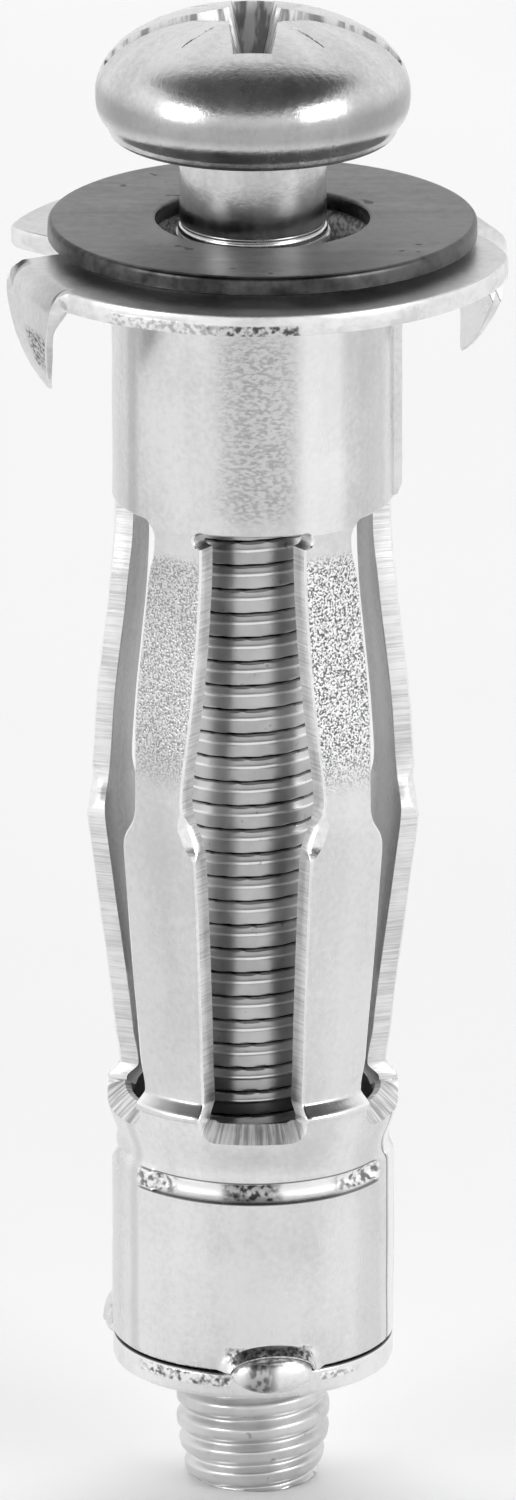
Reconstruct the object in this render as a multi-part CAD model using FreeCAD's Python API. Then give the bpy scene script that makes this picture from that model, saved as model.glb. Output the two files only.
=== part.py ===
import FreeCAD, Part
import math
import os

# Hollow-wall anchor with its machine screw, in millimetres.
# +Z runs along the screw's axis towards its head. The origin is on that axis, on the flange's
# underside, which rests on the wall. An azimuth is counted in degrees from -Y towards +X.

V = FreeCAD.Vector
ORIGIN = V(0, 0, 0)
AXIS = V(0, 0, 1)

# How far a cutting tool reaches past what it cuts
MARGIN = 1.0
CUT_REACH = 8.0

# Sheet of the rolled sleeve
SHEET = 0.65
SLEEVE_R = 4.47
SLEEVE_IN_R = SLEEVE_R - SHEET

# Folding links: every leg has two equal links, and its three pivots stand at one radius
LEG_AZIMUTHS = (-36, 36, 108, 180, 252)
LEG_STEP = 72
PIVOT_R = 4.48
LINK = 9.70
TOP_Z = -7.90
KNEE_Z = TOP_Z - LINK
FOOT_Z = KNEE_Z - LINK
FOLD_GAP = 0.02
KNEE_R = 5.20
KNEE_IN_R = PIVOT_R + 0.07
UPPER_TOP_R = PIVOT_R - 0.01
LINK_BOW = 0.06
FOOT_R = 4.30
UPPER_W = 1.90
KNEE_W = 2.30
LOWER_W = 2.75
FOOT_W = 2.10
SHOULDER = 0.60

# Flange: a flat rim that steps up to a raised inner ring, cut by two notches into two lobes
FLANGE_R = 8.12
FLANGE_SHIFT = 0.12
RAISED_R = 5.30
RAISE = 0.25
LEFT_NOTCH = ((-5.60, 0.12), (-5.60, -0.82), (-8.90, -2.59), (-10.0, 0.2), (-8.90, 2.79))
RIGHT_NOTCH = ((6.84, 1.69), (8.90, -1.99), (10.0, 0.0), (9.70, 2.40))

# Spikes: the end of each lobe, bent down over a chord of the rim
SPIKES = ((0, 7.85), (180, 8.10))
SPIKE_AZIMUTH = -68.0
SPIKE_CURVED_SIDE = 1.90
SPIKE_STRAIGHT_SIDE = 2.50
SPIKE_TIP_SHIFT = -0.55
SPIKE_TIP_HALF_W = 0.22
SPIKE_TIP_ROUND = 0.15
SPIKE_BELLY = (0.75, 0.48)
SPIKE_DROP = 3.40

# Seam of the rolled sheet, where one edge stands proud of the collar
SEAM_AZIMUTH = 81.0
SEAM_PROUD = 0.20
SEAM_W = 0.55
SEAM_ROOT = 0.20
SEAM_END_Z = -7.35

# Slots between the legs
SLOT_TOP_Z = -7.55
SLOT_W = 3.55
SLOT_CORNER_R = 0.30
SLOT_BOTTOM_Z = -27.90
SLOT_BOTTOM_W = 3.20
SLOT_BOTTOM_CORNER_R = 0.45

# Lower collar and the nut crimped in it
BEAD_R = 4.65
BEAD_END_Z = -28.20
NECK_Z = -29.00
NECK_R = 4.35
COLLAR_R = 4.52
COLLAR_TOP_Z = -30.20
COLLAR_IN_R = 3.72
COLLAR_END_Z = -35.50
GROOVE_Z = -29.60
GROOVE_H = 0.50
GROOVE_DEPTH = 0.25
GROOVE_HALF_ANGLE = 57.0
LUG_AZIMUTHS = (8, 128, 248)
NUT_BORE_R = 2.52
NUT_R = 3.70
NUT_TOP_Z = -30.30
NUT_END_Z = -36.50
NUT_RIM_R = 4.50
LUG_R = 4.98
LUG_W = 2.60
LUG_TOP_Z = -34.75
LUG_END_Z = -35.90
LUG_ROOM = 0.06

# Washer
WASHER_R = 6.80
WASHER_HOLE_R = 3.375
WASHER_Z = 0.95
WASHER_T = 0.60
WASHER_SHIFT = 0.30

# Screw: M5 coarse thread, pan head with a slot and a cross recess
PITCH = 0.80
CREST_R = 2.465
ROOT_R = 2.00
CREST_FLAT = 0.10
THREAD_ROOT_W = 0.74
SHANK_R = 2.325
SHANK_END_Z = 1.45
TIP_Z = -40.60
TIP_CHAMFER = 0.45
CORE_EDGE = 0.15
CORE_OVERLAP = 0.50
RIDGE_ROOT_DEPTH = 0.05
HEAD_R = 4.975
HEAD_UNDER_Z = 4.30
HEAD_TOP_Z = 8.32
HEAD_FLAT_R = 4.10
HEAD_WIDE_LOW_Z = 5.30
HEAD_WIDE_HIGH_Z = 5.95
HEAD_SHOULDER = (3.30, 7.70)
HEAD_BROW = (4.52, 6.83)
DOME_MID_SHARE = 0.25
SLOT_CUT_W = 0.80
SLOT_FLOOR_Z = 6.60
WING_R = 2.95
WING_W = 1.10
WING_FLOOR_Z = 6.30
RECESS_CONE_R = 1.75
RECESS_POINT_R = 0.15
RECESS_POINT_Z = 4.95


def ring(r_in, r_out, z_low, z_high):
    height = z_high - z_low
    outer = Part.makeCylinder(r_out, height, V(0, 0, z_low))
    return outer.cut(Part.makeCylinder(r_in, height, V(0, 0, z_low)))


def revolved(edges):
    """Solid of revolution about Z of a closed outline of edges in the XZ plane."""
    face = Part.Face(Part.Wire(Part.__sortEdges__(edges)))
    return face.revolve(ORIGIN, AXIS, 360)


def revolved_points(points):
    """The same for a polygon of (radius, height) points."""
    corners = [V(r, 0, z) for r, z in points]
    return Part.Face(Part.makePolygon(corners + corners[:1])).revolve(ORIGIN, AXIS, 360)


def turned(shape, azimuth):
    """A copy of a shape modelled towards +X, turned to an azimuth."""
    copy = shape.copy()
    copy.rotate(ORIGIN, AXIS, azimuth - 90)
    return copy


def slab(width, z_low, z_high, reach=CUT_REACH):
    """A box along +X from the axis out to reach, centred on Y."""
    return Part.makeBox(reach, width, z_high - z_low, V(0, -width / 2, z_low))


def corner_rounded_slab(width, z_low, z_high, radius, round_top):
    """A slab whose two upper or two lower long edges are rounded."""
    box = slab(width, z_low, z_high)
    level = z_high if round_top else z_low
    edges = []
    for edge in box.Edges:
        middle = edge.CenterOfMass
        along_x = abs(edge.Length - CUT_REACH) < 1e-6
        if along_x and abs(middle.z - level) < 1e-6:
            edges.append(edge)
    return box.makeFillet(radius, edges)


def make_thread_ridge():
    """The thread's ridge from the tip up to the plain shank, as one swept solid."""
    height = SHANK_END_Z - TIP_Z + 2 * PITCH
    helix = Part.makeLongHelix(PITCH, height, ROOT_R, 0, False)
    inside = ROOT_R - RIDGE_ROOT_DEPTH
    outline = [
        V(inside, 0, -THREAD_ROOT_W / 2),
        V(CREST_R, 0, -CREST_FLAT / 2),
        V(CREST_R, 0, CREST_FLAT / 2),
        V(inside, 0, THREAD_ROOT_W / 2),
    ]
    ridge = helix.makePipeShell([Part.makePolygon(outline + outline[:1])], True, True)
    ridge.translate(V(0, 0, TIP_Z - PITCH))
    keep = revolved_points([
        (0, TIP_Z),
        (CREST_R - TIP_CHAMFER, TIP_Z),
        (CREST_R + MARGIN, TIP_Z + TIP_CHAMFER + MARGIN),
        (CREST_R + MARGIN, SHANK_END_Z),
        (0, SHANK_END_Z),
    ])
    return ridge.common(keep)


def make_head():
    """Head of the screw, before its recess, with the plain shank under it."""
    shoulder_r, shoulder_z = HEAD_SHOULDER
    dome_mid_r = shoulder_r / 2
    dome_mid_z = HEAD_TOP_Z - (HEAD_TOP_Z - shoulder_z) * DOME_MID_SHARE
    corner_r = HEAD_R - HEAD_FLAT_R
    corner_h = HEAD_WIDE_LOW_Z - HEAD_UNDER_Z
    eighth = math.radians(45)
    low_mid = V(HEAD_FLAT_R + corner_r * math.sin(eighth), 0,
                HEAD_WIDE_LOW_Z - corner_h * math.cos(eighth))
    high_mid = V(HEAD_BROW[0], 0, HEAD_BROW[1])
    top = V(0, 0, HEAD_TOP_Z)
    shoulder = V(shoulder_r, 0, shoulder_z)
    wide_high = V(HEAD_R, 0, HEAD_WIDE_HIGH_Z)
    wide_low = V(HEAD_R, 0, HEAD_WIDE_LOW_Z)
    flat_end = V(HEAD_FLAT_R, 0, HEAD_UNDER_Z)
    under = V(SHANK_R, 0, HEAD_UNDER_Z)
    shank_end = V(SHANK_R, 0, SHANK_END_Z)
    bottom = V(0, 0, SHANK_END_Z)
    edges = [
        Part.Arc(top, V(dome_mid_r, 0, dome_mid_z), shoulder).toShape(),
        Part.Arc(shoulder, high_mid, wide_high).toShape(),
        Part.LineSegment(wide_high, wide_low).toShape(),
        Part.Arc(wide_low, low_mid, flat_end).toShape(),
        Part.LineSegment(flat_end, under).toShape(),
        Part.LineSegment(under, shank_end).toShape(),
        Part.LineSegment(shank_end, bottom).toShape(),
        Part.LineSegment(bottom, top).toShape(),
    ]
    return revolved(edges)


def make_recess():
    """Full-length slot along X, crossed by four short wings over a conical centre."""
    above = HEAD_TOP_Z + MARGIN
    slot = Part.makeBox(2 * (HEAD_R + MARGIN), SLOT_CUT_W, above - SLOT_FLOOR_Z,
                        V(-HEAD_R - MARGIN, -SLOT_CUT_W / 2, SLOT_FLOOR_Z))
    cutter = slot
    for azimuth in (0, 90, 180, 270):
        wing = turned(slab(WING_W, WING_FLOOR_Z, above, WING_R), azimuth)
        cutter = cutter.fuse(wing)
    cone = Part.makeCone(RECESS_POINT_R, RECESS_CONE_R, above - RECESS_POINT_Z,
                         V(0, 0, RECESS_POINT_Z))
    return cutter.fuse(cone)


def make_screw():
    core = revolved_points([
        (0, TIP_Z),
        (ROOT_R - CORE_EDGE, TIP_Z),
        (ROOT_R, TIP_Z + CORE_EDGE),
        (ROOT_R, SHANK_END_Z + CORE_OVERLAP),
        (0, SHANK_END_Z + CORE_OVERLAP),
    ])
    screw = core.fuse(make_thread_ridge())
    head = make_head().cut(make_recess())
    return screw.fuse(head)


def make_washer():
    washer = ring(WASHER_HOLE_R, WASHER_R, WASHER_Z, WASHER_Z + WASHER_T)
    washer.translate(V(WASHER_SHIFT, 0, 0))
    return washer


def make_flange():
    """Two-lobed flange with the raised ring around the bore."""
    rim = Part.makeCylinder(FLANGE_R, SHEET, V(FLANGE_SHIFT, 0, 0))
    raised = Part.makeCone(RAISED_R + RAISE, RAISED_R, RAISE, V(0, 0, SHEET))
    flange = rim.fuse(raised)
    for outline in (LEFT_NOTCH, RIGHT_NOTCH):
        corners = [V(x, y, -MARGIN) for x, y in outline]
        depth = SHEET + RAISE + 2 * MARGIN
        notch = Part.Face(Part.makePolygon(corners + corners[:1])).extrude(V(0, 0, depth))
        flange = flange.cut(notch)
    for turn, chord_r in SPIKES:
        flange = flange.cut(spike_trim(turn, chord_r))
    return flange


def spike_trim(turn, chord_r):
    """What the bend of a spike takes off the round rim, outside its chord."""
    width = SPIKE_CURVED_SIDE + SPIKE_STRAIGHT_SIDE
    trim = Part.makeBox(CUT_REACH, width, SHEET + 2 * MARGIN,
                        V(chord_r, -SPIKE_CURVED_SIDE, -MARGIN))
    return turned(trim, SPIKE_AZIMUTH + turn)


def make_spike(turn, chord_r):
    """Pointed ear hanging straight down from its chord of the rim, one side of it curved."""
    shoulder_z = SPIKE_TIP_ROUND - SPIKE_DROP
    tip_left = V(chord_r, SPIKE_TIP_SHIFT - SPIKE_TIP_HALF_W, shoulder_z)
    tip = V(chord_r, SPIKE_TIP_SHIFT, -SPIKE_DROP)
    tip_right = V(chord_r, SPIKE_TIP_SHIFT + SPIKE_TIP_HALF_W, shoulder_z)
    curved_low = V(chord_r, -SPIKE_CURVED_SIDE, 0)
    curved_mid = V(chord_r, -SPIKE_CURVED_SIDE * SPIKE_BELLY[0], -SPIKE_DROP * SPIKE_BELLY[1])
    curved_high = V(chord_r, -SPIKE_CURVED_SIDE, SHEET)
    straight_low = V(chord_r, SPIKE_STRAIGHT_SIDE, 0)
    straight_high = V(chord_r, SPIKE_STRAIGHT_SIDE, SHEET)
    wire = Part.Wire([
        Part.LineSegment(curved_high, curved_low).toShape(),
        Part.Arc(curved_low, curved_mid, tip_left).toShape(),
        Part.Arc(tip_left, tip, tip_right).toShape(),
        Part.LineSegment(tip_right, straight_low).toShape(),
        Part.LineSegment(straight_low, straight_high).toShape(),
        Part.LineSegment(straight_high, curved_high).toShape(),
    ])
    return turned(Part.Face(wire).extrude(V(-SHEET, 0, 0)), SPIKE_AZIMUTH + turn)


def make_seam():
    """Raised sheet edge that runs down the collar."""
    seam = slab(SEAM_W, SEAM_END_Z, 0, SLEEVE_R + SEAM_PROUD)
    seam = seam.cut(Part.makeCylinder(SLEEVE_R - SEAM_ROOT, -SEAM_END_Z, V(0, 0, SEAM_END_Z)))
    return turned(seam, SEAM_AZIMUTH)


def make_flange_collar():
    """Flange, spikes and the upper collar down to the stubs that the legs hang from."""
    stub_end = TOP_Z + FOLD_GAP
    body = make_flange()
    body = body.fuse(Part.makeCylinder(SLEEVE_R, SHEET - stub_end, V(0, 0, stub_end)))
    body = body.fuse(make_seam())
    for turn, chord_r in SPIKES:
        body = body.fuse(make_spike(turn, chord_r))
    bore_end = stub_end - MARGIN
    bore_depth = SHEET + RAISE + MARGIN - bore_end
    body = body.cut(Part.makeCylinder(SLEEVE_IN_R, bore_depth, V(0, 0, bore_end)))
    for azimuth in LEG_AZIMUTHS:
        between = azimuth + LEG_STEP / 2
        slot = corner_rounded_slab(SLOT_W, TOP_Z - MARGIN, SLOT_TOP_Z, SLOT_CORNER_R, True)
        body = body.cut(turned(slot, between))
    return body.removeSplitter()


def leg_side(points, width):
    """Link's side outline in (radius, height), as thick as width allows, centred on Y."""
    corners = [V(r, -width / 2, z) for r, z in points]
    return Part.Face(Part.makePolygon(corners + corners[:1])).extrude(V(0, width, 0))


def leg_front(points):
    """Link's front outline in (half width, height), mirrored about its middle and extruded."""
    right = [V(0, y, z) for y, z in points]
    left = [V(0, -y, z) for y, z in reversed(points)]
    face = Part.Face(Part.makePolygon(right + left + right[:1]))
    return face.extrude(V(CUT_REACH, 0, 0))


def make_leg_upper(azimuth):
    """Link from the collar's stub down to the knee, slightly bowed outwards."""
    top = TOP_Z - FOLD_GAP
    bottom = KNEE_Z + FOLD_GAP
    middle = (top + bottom) / 2
    top_r = UPPER_TOP_R
    top_in_r = top_r - SHEET
    side = leg_side([
        (top_r, top),
        ((top_r + KNEE_R) / 2 + LINK_BOW, middle),
        (KNEE_R, bottom),
        (KNEE_IN_R, bottom),
        ((top_in_r + KNEE_IN_R) / 2 + LINK_BOW, middle),
        (top_in_r, top),
    ], LOWER_W)
    front = leg_front([
        (UPPER_W / 2, top),
        (UPPER_W / 2, bottom + SHOULDER),
        (KNEE_W / 2, bottom),
    ])
    return turned(side.common(front), azimuth)


def make_leg_lower(azimuth):
    """Link from the knee down to the lower collar, widest just under the knee."""
    top = KNEE_Z - FOLD_GAP
    bottom = FOOT_Z + FOLD_GAP
    side = leg_side([
        (KNEE_R, top),
        (FOOT_R, bottom),
        (FOOT_R - SHEET, bottom),
        (KNEE_IN_R, top),
    ], LOWER_W)
    front = leg_front([
        (KNEE_W / 2, top),
        (LOWER_W / 2, top - SHOULDER),
        (FOOT_W / 2, bottom),
    ])
    return turned(side.common(front), azimuth)


def groove_segment(azimuth):
    """One of the crimp's three arcs, as the ring sector that it presses out of the neck."""
    half = GROOVE_HALF_ANGLE
    reach = COLLAR_R + MARGIN
    sector = Part.makeCylinder(reach, GROOVE_H, V(0, 0, GROOVE_Z - GROOVE_H / 2), AXIS, 2 * half)
    sector.rotate(ORIGIN, AXIS, azimuth - 90 - half)
    core = Part.makeCylinder(NECK_R - GROOVE_DEPTH / 2, 2 * GROOVE_H, V(0, 0, GROOVE_Z - GROOVE_H))
    return sector.cut(core)


def make_lower_collar():
    """Collar that the legs stand on, with bead, crimped neck and three lug windows."""
    top = FOOT_Z - FOLD_GAP
    collar = revolved_points([
        (COLLAR_IN_R, top),
        (BEAD_R, top),
        (BEAD_R, BEAD_END_Z),
        (NECK_R, NECK_Z),
        (NECK_R, (NECK_Z + COLLAR_TOP_Z) / 2),
        (COLLAR_R, COLLAR_TOP_Z),
        (COLLAR_R, COLLAR_END_Z),
        (COLLAR_IN_R, COLLAR_END_Z),
    ])
    for azimuth in LEG_AZIMUTHS:
        slot = corner_rounded_slab(SLOT_BOTTOM_W, SLOT_BOTTOM_Z, top + MARGIN,
                                   SLOT_BOTTOM_CORNER_R, False)
        collar = collar.cut(turned(slot, azimuth + LEG_STEP / 2))
    for azimuth in LUG_AZIMUTHS:
        collar = collar.cut(groove_segment(azimuth))
        window = slab(LUG_W + 2 * LUG_ROOM, COLLAR_END_Z - MARGIN, LUG_TOP_Z + LUG_ROOM)
        collar = collar.cut(turned(window, azimuth))
    return collar


def make_nut():
    """Round nut with a rim below the collar and three lugs in the collar's windows."""
    nut = Part.makeCylinder(NUT_R, NUT_TOP_Z - NUT_END_Z, V(0, 0, NUT_END_Z))
    rim_top = COLLAR_END_Z - FOLD_GAP
    nut = nut.fuse(Part.makeCylinder(NUT_RIM_R, rim_top - NUT_END_Z, V(0, 0, NUT_END_Z)))
    round_end = Part.makeCylinder(LUG_R, LUG_TOP_Z - LUG_END_Z, V(0, 0, LUG_END_Z))
    for azimuth in LUG_AZIMUTHS:
        lug = slab(LUG_W, LUG_END_Z, LUG_TOP_Z).common(round_end)
        nut = nut.fuse(turned(lug, azimuth))
    bore_depth = NUT_TOP_Z - NUT_END_Z + 2 * MARGIN
    return nut.cut(Part.makeCylinder(NUT_BORE_R, bore_depth, V(0, 0, NUT_END_Z - MARGIN)))


def save(name, shape):
    if not shape.isValid():
        raise ValueError(name + " is not a valid shape")
    if len(shape.Solids) != 1:
        raise ValueError(name + " has " + str(len(shape.Solids)) + " solids")
    shape.Solids[0].exportStep("parts/" + name + ".step")
    print(name, round(shape.Volume, 2), "mm3")


def main():
    os.makedirs("parts", exist_ok=True)
    save("screw", make_screw())
    save("washer", make_washer())
    save("flange_collar", make_flange_collar())
    for number, azimuth in enumerate(LEG_AZIMUTHS, start=1):
        save("leg_" + str(number) + "_upper", make_leg_upper(azimuth))
        save("leg_" + str(number) + "_lower", make_leg_lower(azimuth))
    save("lower_collar", make_lower_collar())
    save("nut", make_nut())


main()
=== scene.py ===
import math

import bmesh
import bpy
from mathutils import Matrix, Vector, noise


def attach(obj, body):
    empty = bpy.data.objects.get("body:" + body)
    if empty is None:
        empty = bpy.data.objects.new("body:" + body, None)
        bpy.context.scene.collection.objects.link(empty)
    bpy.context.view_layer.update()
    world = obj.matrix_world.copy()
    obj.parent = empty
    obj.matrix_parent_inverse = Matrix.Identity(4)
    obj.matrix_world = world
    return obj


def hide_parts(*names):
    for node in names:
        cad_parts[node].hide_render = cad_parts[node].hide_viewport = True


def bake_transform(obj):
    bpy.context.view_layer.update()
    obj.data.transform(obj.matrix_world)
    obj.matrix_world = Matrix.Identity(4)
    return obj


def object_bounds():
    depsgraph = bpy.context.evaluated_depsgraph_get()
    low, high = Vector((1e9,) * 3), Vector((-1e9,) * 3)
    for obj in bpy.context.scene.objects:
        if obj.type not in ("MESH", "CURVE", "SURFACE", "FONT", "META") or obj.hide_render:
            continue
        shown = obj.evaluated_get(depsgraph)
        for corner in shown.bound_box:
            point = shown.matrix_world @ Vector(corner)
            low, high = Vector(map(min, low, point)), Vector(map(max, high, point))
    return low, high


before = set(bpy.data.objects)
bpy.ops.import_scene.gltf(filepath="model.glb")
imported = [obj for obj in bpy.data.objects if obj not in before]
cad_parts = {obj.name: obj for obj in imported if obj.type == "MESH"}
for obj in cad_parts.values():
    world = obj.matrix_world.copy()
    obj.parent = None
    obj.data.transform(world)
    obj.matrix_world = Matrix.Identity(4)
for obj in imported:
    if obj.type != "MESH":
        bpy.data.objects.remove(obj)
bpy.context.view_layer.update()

# Lengths are in millimetres in the CAD's frame, except nodes' own values, the camera, the floor
# and the lights, which are in metres. An azimuth is counted in degrees from -Y towards +X.
MM = 0.001

# Folding sleeve: its sheet, its legs' pivots, and where its pieces divide
SHEET = 0.65
SLEEVE_R = 4.47
FRONT_LEFT, FRONT_RIGHT = -36, 36
LEG_AZIMUTHS = (FRONT_LEFT, FRONT_RIGHT, 108, 180, 252)
PIVOT_R = 4.48
FOOT_Z = -27.30
SPLIT_Z = -7.75
MIDDLE_Z = -12.50

LUG_AZIMUTHS = (8, 128, 248)
PITCH = 0.80

# Unevenness of pressed metal
DENT_SIZE = 2.4
DENT_DEPTH = 0.03

# Vertices nearer than this are one, in metres
WELD = 2e-7


def polar(azimuth, r, z):
    a = math.radians(azimuth)
    return Vector((r * math.sin(a), -r * math.cos(a), z))


def smooth(low, high, x):
    t = min(1.0, max(0.0, (x - low) / (high - low)))
    return t * t * (3 - 2 * t)


def mix(a, b, t):
    return a + (b - a) * t


def table(points, x):
    """Value at x of a smooth line through (x, value) points sorted by rising x."""
    if x <= points[0][0]:
        return points[0][1]
    if x >= points[-1][0]:
        return points[-1][1]
    for i in range(len(points) - 1):
        x1, y1 = points[i]
        x2, y2 = points[i + 1]
        if x <= x2:
            x0, y0 = points[max(i - 1, 0)]
            x3, y3 = points[min(i + 2, len(points) - 1)]
            m1 = (y2 - y0) / (x2 - x0)
            m2 = (y3 - y1) / (x3 - x1)
            h = x2 - x1
            t = (x - x1) / h
            return ((2 * t**3 - 3 * t**2 + 1) * y1 + (t**3 - 2 * t**2 + t) * h * m1
                    + (-2 * t**3 + 3 * t**2) * y2 + (t**3 - t**2) * h * m2)


def wrapped(angle):
    return (angle + 180) % 360 - 180


def dent(point):
    """Small radial unevenness that pressed metal has, the same in every run."""
    away = Vector((point.x, point.y, 0)).normalized()
    return point + away * noise.noise(point / DENT_SIZE) * DENT_DEPTH


def build(name, sections, ring, kinds, materials, sharp=32):
    """Closed mesh through equal loops of points. kinds has a material number per loop side.

    ring joins the last loop to the first. Without it, both ends are capped.
    """
    count = len(sections[0])
    verts = [p * MM for section in sections for p in section]
    faces = []
    slots = []
    spans = len(sections) if ring else len(sections) - 1
    for i in range(spans):
        a = i * count
        b = (i + 1) % len(sections) * count
        for j in range(count):
            k = (j + 1) % count
            faces.append((a + j, a + k, b + k, b + j))
            slots.append(kinds[j])
    if not ring:
        faces += [tuple(range(count)), tuple(range(len(verts) - count, len(verts)))]
        slots += [kinds[-1], kinds[-1]]
    mesh = bpy.data.meshes.new(name)
    mesh.from_pydata(verts, [], faces)
    for polygon, slot in zip(mesh.polygons, slots):
        polygon.material_index = slot
    for material in materials:
        mesh.materials.append(MATERIALS[material])
    return finished(name, mesh, sharp)


def placed(name, data):
    """New object in the scene."""
    item = bpy.data.objects.new(name, data)
    bpy.context.scene.collection.objects.link(item)
    return item


def finished(name, mesh, sharp):
    cleaned = bmesh.new()
    cleaned.from_mesh(mesh)
    bmesh.ops.remove_doubles(cleaned, verts=cleaned.verts, dist=WELD)
    bmesh.ops.dissolve_degenerate(cleaned, edges=cleaned.edges, dist=WELD / 2)
    bmesh.ops.recalc_face_normals(cleaned, faces=cleaned.faces)
    cleaned.to_mesh(mesh)
    cleaned.free()
    for polygon in mesh.polygons:
        polygon.use_smooth = True
    mesh.set_sharp_from_angle(angle=math.radians(sharp))
    return placed(name, mesh)


def steps(start, end, count):
    return [mix(start, end, i / count) for i in range(count + 1)]


def revolved(name, loop_at, columns, materials):
    """Closed mesh from a loop of (point, material number) pairs at each azimuth."""
    loops = [loop_at(-180 + 360 * i / columns) for i in range(columns)]
    sections = [[point for point, kind in loop] for loop in loops]
    return build(name, sections, True, [kind for point, kind in loops[0]], materials)


# Materials -----------------------------------------------------------------------------------

MATERIALS = {}


class Tree:
    """A node tree, with short calls for the few nodes used here."""

    def __init__(self, tree):
        self.tree = tree

    def feed(self, value, socket):
        if isinstance(value, bpy.types.NodeSocket):
            self.tree.links.new(value, socket)
        else:
            socket.default_value = value

    def add(self, kind, inputs=(), **values):
        """New node with its values set, and its inputs fed by name or number."""
        node = self.tree.nodes.new(kind)
        for key, value in values.items():
            setattr(node, key, value)
        for key, value in dict(inputs).items():
            self.feed(value, node.inputs[key])
        return node

    def math(self, operation, a, b=0.0):
        return self.add("ShaderNodeMath", {0: a, 1: b}, operation=operation).outputs[0]

    def times(self, a, b):
        return self.math("MULTIPLY", a, b)

    def plus(self, a, b):
        return self.math("ADD", a, b)

    def split(self, vector):
        return self.add("ShaderNodeSeparateXYZ", {0: vector}).outputs

    def spread(self, value, low, high, to_low=0.0, to_high=1.0):
        """Smooth step of a value from one range to another."""
        inputs = {"Value": value, "From Min": low, "From Max": high,
                  "To Min": to_low, "To Max": to_high}
        node = self.add("ShaderNodeMapRange", inputs, interpolation_type="SMOOTHSTEP")
        return node.outputs["Result"]


class Nodes(Tree):
    """A material's node tree."""

    def __init__(self, name):
        self.material = bpy.data.materials.new(name)
        self.material.use_nodes = True
        super().__init__(self.material.node_tree)
        self.shader = self.tree.nodes["Principled BSDF"]
        self.place = self.add("ShaderNodeTexCoord").outputs["Object"]

    def around(self):
        """A place's turn about the axis, distance from it and height, as a vector and one by one.

        The turn is a length on the sleeve, so that lines can run with the part.
        """
        x, y, z = self.split(self.place)
        r = self.math("SQRT", self.plus(self.times(x, x), self.times(y, y)))
        turn = self.times(self.math("ARCTAN2", x, self.times(y, -1.0)), SLEEVE_R * MM)
        vector = self.add("ShaderNodeCombineXYZ", {0: turn, 1: r, 2: z}).outputs[0]
        return vector, turn, r, z

    def noise(self, scale, detail=3.0, rough=0.5, stretch=None, distortion=0.0, place=None):
        place = place or self.place
        if stretch:
            place = self.add("ShaderNodeMapping", {"Vector": place, "Scale": stretch}).outputs[0]
        inputs = {"Vector": place, "Scale": scale, "Detail": detail, "Roughness": rough,
                  "Distortion": distortion}
        return self.add("ShaderNodeTexNoise", inputs).outputs["Fac"]

    def blend(self, factor, a, b):
        inputs = {"Factor": factor, 6: a, 7: b}
        return self.add("ShaderNodeMix", inputs, data_type="RGBA").outputs[2]

    def bump(self, height, strength, distance, below=None):
        inputs = {"Strength": strength, "Distance": distance, "Height": height}
        if below is not None:
            inputs["Normal"] = below
        return self.add("ShaderNodeBump", inputs).outputs[0]

    def within(self, value, limits):
        """1 between the two middle limits, 0 outside the outer ones. They are in millimetres."""
        a, b, c, d = (limit * MM for limit in limits)
        return self.times(self.spread(value, a, b), self.spread(value, c, d, 1.0, 0.0))

    def patch(self, speckle, colour, normal, turn, z, r):
        """Adds a rough speckled patch with ragged ends to a colour and a normal."""
        mask = None
        for value, key in ((turn, "turn"), (z, "z"), (r, "r")):
            if key in speckle:
                part = self.within(value, speckle[key])
                mask = part if mask is None else self.times(mask, part)
        edge = self.noise(speckle.get("edge", 1500), 3, 0.6)
        ragged = self.spread(self.plus(mask, self.times(edge, 0.6)), 0.3, 1.0)
        mask = self.times(mask, ragged)
        spots = self.noise(speckle["scale"], 1.5, 0.5, stretch=speckle.get("stretch"))
        spotted = self.blend(self.spread(spots, 0.36, 0.60),
                             grey(speckle["dark"]), grey(speckle["light"]))
        colour = self.blend(self.times(mask, speckle["amount"]), colour, spotted)
        return colour, self.bump(self.times(spots, mask), speckle["bump"], 3e-5, normal)

    def done(self, colour, rough, normal=None, metallic=1.0):
        self.feed(colour, self.shader.inputs["Base Color"])
        self.feed(rough, self.shader.inputs["Roughness"])
        self.shader.inputs["Metallic"].default_value = metallic
        if normal is not None:
            self.feed(normal, self.shader.inputs["Normal"])
        return self.material


def grey(value):
    return (value, value, value, 1.0)


def plated(name, light, dark, rough, *patches, grain=0.35, painted_bands=(), stripes=(), matt=None):
    """Zinc-plated steel: broad tone changes, a fine grain, faint scratches, and rough patches.

    A range is four rising limits. A patch has ranges along the turn about the axis, z and r. A
    painted band is a range along z with a tone and its strength, for painted shade and highlights,
    and a stripe is one along the turn, for painted reflections and a dark seam line. matt has a
    range along z, one along r, and the roughness that it adds.
    """
    n = Nodes(name)
    place, turn, r, z = n.around()
    broad = n.noise(260, 3, 0.55)
    fine = n.noise(5200, 2, 0.6)
    scratch = n.noise(900, 4, 0.7, stretch=(1.0, 1.0, 0.07), distortion=0.4)
    drawn = n.noise(620, 2, 0.5, stretch=(1.0, 0.2, 0.045), place=place)
    tone = n.plus(n.times(broad, 0.35), n.plus(n.times(fine, 0.25), n.times(drawn, 0.40)))
    colour = n.blend(n.spread(tone, 0.36, 0.62), grey(dark), grey(light))
    roughness = n.spread(n.plus(n.times(broad, 0.5), n.times(scratch, 0.5)),
                         0.3, 0.7, rough - 0.06, rough + 0.08)
    normal = n.bump(fine, grain, 8e-6)
    normal = n.bump(scratch, 0.12, 1.2e-5, normal)
    # Painted bands and stripes lay painted shade, highlights and reflections, and the seam line,
    # over the colour.
    for value, ranges in ((z, painted_bands), (turn, stripes)):
        for limits, level, amount in ranges:
            colour = n.blend(n.times(n.within(value, limits), amount), colour, grey(level))
    if matt:
        dull = n.times(n.within(z, matt[0]), n.within(r, matt[1]))
        roughness = n.plus(roughness, n.times(dull, matt[2]))
    for speckle in patches:
        colour, normal = n.patch(speckle, colour, normal, turn, z, r)
    return n.done(colour, roughness, normal)


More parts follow.
